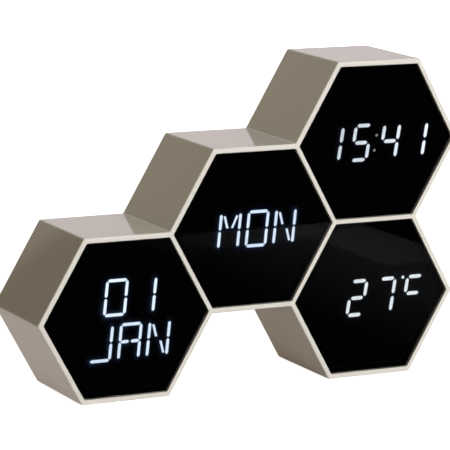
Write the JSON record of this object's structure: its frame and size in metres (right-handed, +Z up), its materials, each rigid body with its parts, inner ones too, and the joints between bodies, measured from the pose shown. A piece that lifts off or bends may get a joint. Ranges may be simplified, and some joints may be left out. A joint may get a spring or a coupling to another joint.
{
  "type": "digital alarm clock",
  "caption": "Free-standing digital alarm clock with joined hexagonal cells that show date, weekday, time and temperature through dark windows in one moulded case.",
  "frame": {"origin": "on the resting surface, midway across the case and midway through its depth", "axes": "+X to the right as seen from the front, +Y to the rear, +Z up"},
  "size_m": [0.3042, 0.069, 0.2126],
  "materials": {
    "case_plastic": "moulded, glossy, warm light grey",
    "cover_plastic": "moulded, fine matt texture",
    "window_plastic": "polished dark tint, see-through where lit from behind",
    "black_tape": "matt black",
    "block_plastic": "matt black",
    "lit_white": "milky fill, lit white",
    "lit_cool_white": "milky fill, lit cool white",
    "lit_dim": "milky fill, dimly lit",
    "unlit_fill": "milky fill, unlit behind the tint",
    "led_body": "satin",
    "board_laminate": "solder mask, satin",
    "chip_resin": "matt moulding compound",
    "socket_nylon": "satin",
    "ribbon_pvc": "satin",
    "screw_steel": "zinc plated",
    "foot_rubber": "matt",
    "button_plastic": "satin",
    "switch_plastic": "satin",
    "inlet_plastic": "satin",
    "pin_metal": "nickel plated",
    "cell_metal": "plated",
    "spring_metal": "nickel plated",
    "can_metal": "satin",
    "sensor_resin": "satin"
  },
  "bodies": {
    "clock": {"alarm_switch_body": "switch_plastic", "backup_cell": "cell_metal", "board_screws": "screw_steel", "board_sockets": "socket_nylon", "button_switches": "switch_plastic", "case": "case_plastic", "cell_clip": "spring_metal", "cell_holder": "switch_plastic", "controller_chip": "chip_resin", "cover_screws": "screw_steel", "date_bars_lit": "lit_cool_white", "date_bars_unlit": "unlit_fill", "date_board": "board_laminate", "date_light_block": "block_plastic", "date_ribbon": "ribbon_pvc", "date_window": "window_plastic", "driver_chips": "chip_resin", "feet": "foot_rubber", "main_board": "board_laminate", "power_inlet": "inlet_plastic", "power_inlet_pin": "pin_metal", "rear_cover": "cover_plastic", "ribbon_plugs": "socket_nylon", "segment_leds": "led_body", "sensor_lead": "ribbon_pvc", "smoothing_capacitors": "can_metal", "sounder": "switch_plastic", "temperature_bars_lit": "lit_white", "temperature_bars_unlit": "unlit_fill", "temperature_board": "board_laminate", "temperature_light_block": "block_plastic", "temperature_ribbon": "ribbon_pvc", "temperature_sensor": "sensor_resin", "temperature_window": "window_plastic", "time_bars_lit": "lit_white", "time_bars_unlit": "unlit_fill", "time_board": "board_laminate", "time_colon": "lit_dim", "time_light_block": "block_plastic", "time_ribbon": "ribbon_pvc", "time_window": "window_plastic", "timing_crystal": "can_metal", "weekday_bars_lit": "lit_cool_white", "weekday_bars_unlit": "unlit_fill", "weekday_board": "board_laminate", "weekday_light_block": "block_plastic", "weekday_ribbon": "ribbon_pvc", "weekday_window": "window_plastic", "window_tapes": "black_tape"},
    "set_button": {"set_button": "button_plastic", "set_plunger": "switch_plastic"},
    "minus_button": {"minus_button": "button_plastic", "minus_plunger": "switch_plastic"},
    "plus_button": {"plus_button": "button_plastic", "plus_plunger": "switch_plastic"},
    "alarm_button": {"alarm_button": "button_plastic", "alarm_plunger": "switch_plastic"},
    "alarm_slider": {"alarm_slider": "switch_plastic"},
    "battery_door": {"battery_door": "cover_plastic", "door_screws": "screw_steel"}
  },
  "joints": [
    {"name": "set_press", "type": "slide", "parent": "clock", "child": "set_button", "axis": [0, -1, 0], "range_m": [0, 0.0005], "stiffness_N_per_m": 400},
    {"name": "minus_press", "type": "slide", "parent": "clock", "child": "minus_button", "axis": [0, -1, 0], "range_m": [0, 0.0005], "stiffness_N_per_m": 400},
    {"name": "plus_press", "type": "slide", "parent": "clock", "child": "plus_button", "axis": [0, -1, 0], "range_m": [0, 0.0005], "stiffness_N_per_m": 400},
    {"name": "alarm_press", "type": "slide", "parent": "clock", "child": "alarm_button", "axis": [0, -1, 0], "range_m": [0, 0.0005], "stiffness_N_per_m": 400},
    {"name": "alarm_slide", "type": "slide", "parent": "clock", "child": "alarm_slider", "axis": [1, 0, 0], "range_m": [0, 0.002]},
    {"name": "door_lift", "type": "slide", "parent": "clock", "child": "battery_door", "axis": [0, 1, 0], "range_m": [0, 0.03]}
  ]
}
